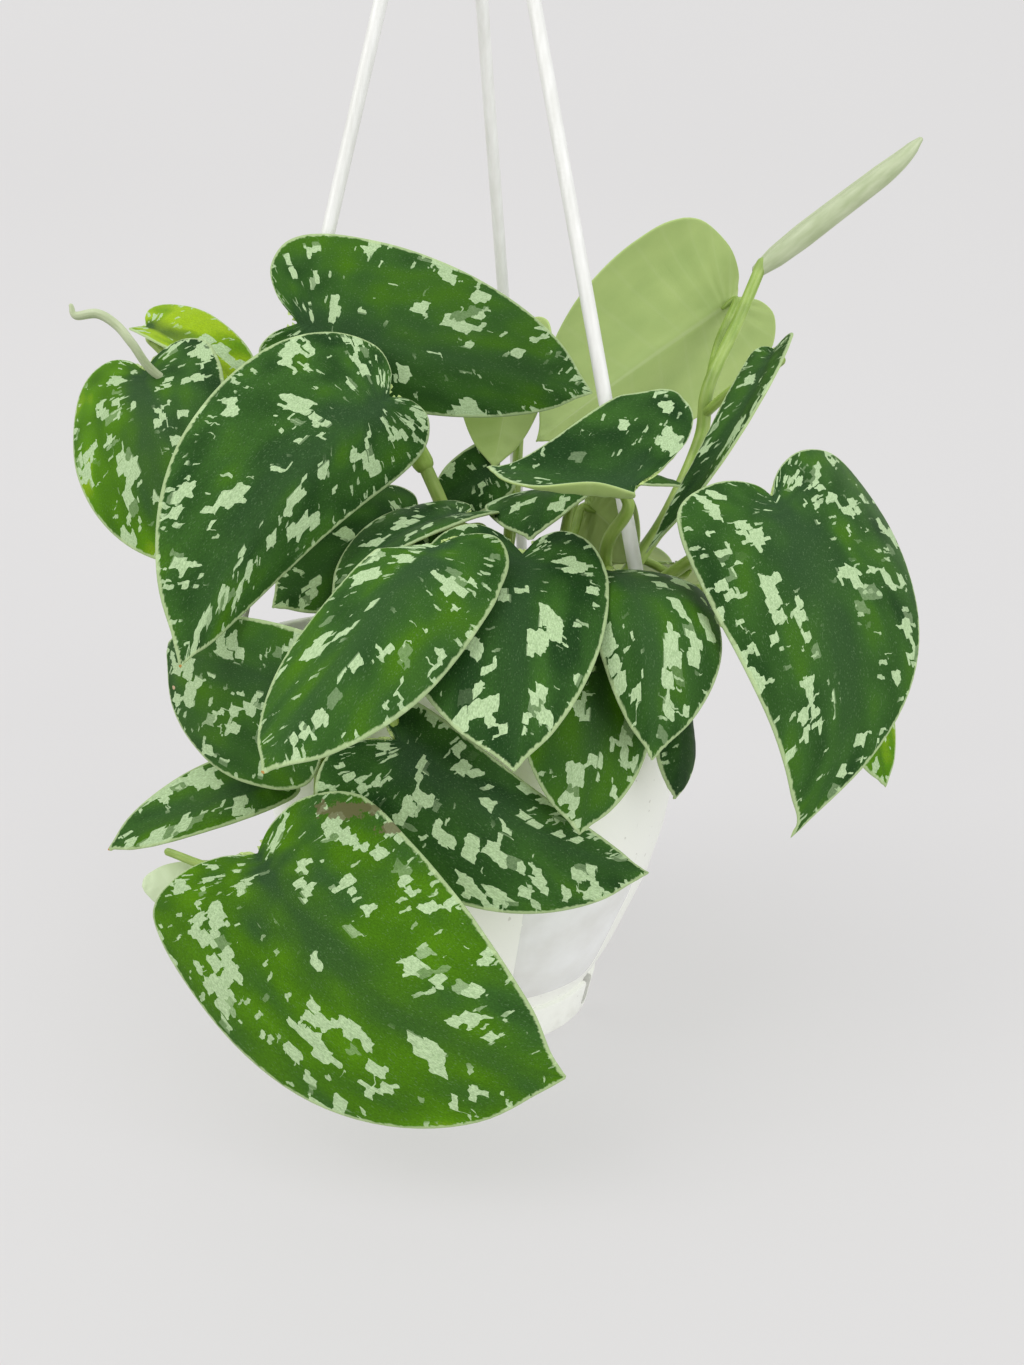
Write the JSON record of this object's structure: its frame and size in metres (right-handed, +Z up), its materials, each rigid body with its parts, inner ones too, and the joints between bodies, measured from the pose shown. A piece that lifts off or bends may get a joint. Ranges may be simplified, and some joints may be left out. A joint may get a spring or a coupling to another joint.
{
  "type": "satin pothos in hanging pot",
  "caption": "Bushy satin pothos with silver-blotched heart-shaped leaves in a tapered round pot, with a three-rod hanger and an open hook on top.",
  "frame": {"origin": "centre of the pot's flat underside", "axes": "+Z up along the pot's axis, -Y towards the side seen in the picture, +X to its right"},
  "size_m": [0.2475, 0.2108, 0.4052],
  "materials": {
    "pot_white": "smooth, faint sheen",
    "hanger_white": "satin",
    "soil_brown": "rough, crumbly",
    "leaf_satin": "velvety"
  },
  "bodies": {
    "root": {"pot": "pot_white", "soil": "soil_brown", "rod_left": "hanger_white", "rod_back": "hanger_white", "rod_right": "hanger_white", "hanger_hook": "hanger_white", "stem_upper_left": "leaf_satin", "stem_top": "leaf_satin", "stem_back_right_tall": "leaf_satin", "stem_right": "leaf_satin", "stem_inner_right": "leaf_satin", "stem_front": "leaf_satin", "stem_front_right": "leaf_satin", "stem_front_low": "leaf_satin", "stem_low_left": "leaf_satin", "stem_right_front": "leaf_satin", "stem_inner_left": "leaf_satin", "stem_inner_back": "leaf_satin", "stem_back_right": "leaf_satin", "stem_back_left": "leaf_satin"}
  },
  "joints": []
}
